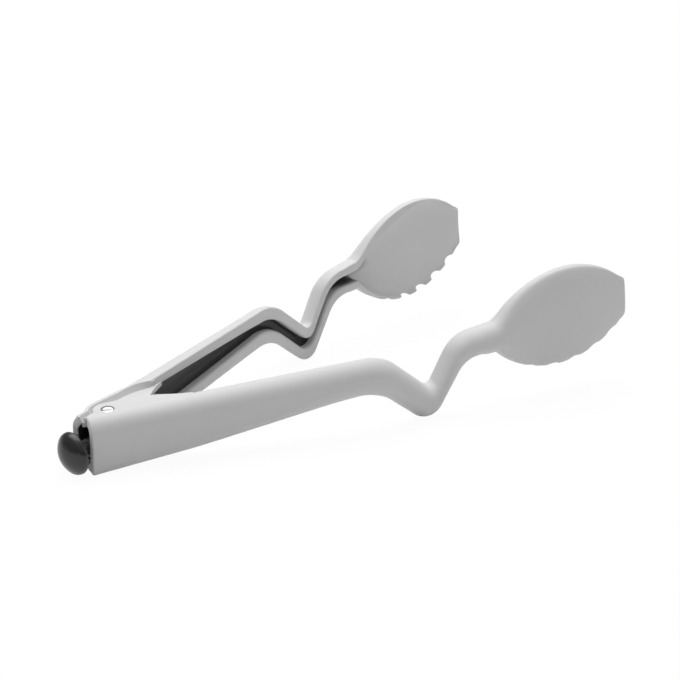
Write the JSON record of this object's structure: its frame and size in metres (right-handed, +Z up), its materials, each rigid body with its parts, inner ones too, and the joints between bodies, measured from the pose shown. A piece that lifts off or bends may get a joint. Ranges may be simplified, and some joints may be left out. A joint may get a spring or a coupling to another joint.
{
  "type": "kitchen tongs",
  "caption": "Sprung kitchen tongs: two mirrored nylon channel arms with grey silicone skins on a riveted hinge, dished scalloped heads, knees to stand on and a push button behind the hinge.",
  "frame": {"origin": "on the bench, under the centre of the open tongs' bounding box", "axes": "+X from the hinge to the heads, +Y towards the left arm seen from behind the hinge, +Z up"},
  "size_m": [0.3028, 0.133, 0.064],
  "materials": {
    "nylon": "satin",
    "silicone_grey": "matte",
    "steel": "brushed",
    "spring_steel": "drawn",
    "washer_plastic": "smooth",
    "bush_plastic": "smooth",
    "housing_plastic": "satin",
    "soft_black": "satin"
  },
  "bodies": {
    "pivot_core": {"hinge_pin": "steel", "pin_washers": "washer_plastic", "hinge_bush": "bush_plastic", "latch_housing_lower": "housing_plastic", "latch_housing_upper": "housing_plastic", "housing_screws": "steel", "cam_sleeve": "bush_plastic", "spring_plug": "housing_plastic", "torsion_spring": "spring_steel", "return_spring": "spring_steel"},
    "left_arm": {"left_arm_core": "nylon", "left_arm_skin": "silicone_grey"},
    "right_arm": {"right_arm_core": "nylon", "right_arm_skin": "silicone_grey"},
    "button": {"button_cap": "soft_black", "button_core": "housing_plastic", "button_stem": "bush_plastic", "lock_collar": "housing_plastic", "stem_cross_pin": "steel"},
    "cam": {"cam_rotor": "bush_plastic"}
  },
  "joints": [
    {"name": "left_arm_close", "type": "hinge", "parent": "pivot_core", "child": "left_arm", "pos_m": [-0.12369, 0, 0.01534], "axis": [0.0941, 0, -0.9956], "range_deg": [0, 12.6], "stiffness_Nm_per_rad": 0.6, "springref_deg": -34.38, "deforming": ["torsion_spring"]},
    {"name": "right_arm_close", "type": "hinge", "parent": "pivot_core", "child": "right_arm", "pos_m": [-0.12369, 0, 0.01534], "axis": [-0.0941, 0, 0.9956], "range_deg": [0, 12.6], "stiffness_Nm_per_rad": 0.6, "springref_deg": -34.38},
    {"name": "button_press", "type": "slide", "parent": "pivot_core", "child": "button", "axis": [0.9956, 0, 0.0941], "range_m": [0, 0.0025], "stiffness_N_per_m": 300, "deforming": ["return_spring"]},
    {"name": "cam_spin", "type": "hinge", "parent": "button", "child": "cam", "pos_m": [-0.10853, 0, 0.01436], "axis": [0.9956, 0, 0.0941], "range_deg": [0, 45]}
  ],
  "couplings": [
    {"joint": "right_arm_close", "follows": "left_arm_close", "ratio": 1},
    {"joint": "cam_spin", "follows": "button_press", "rad_per_m": 314.1}
  ]
}
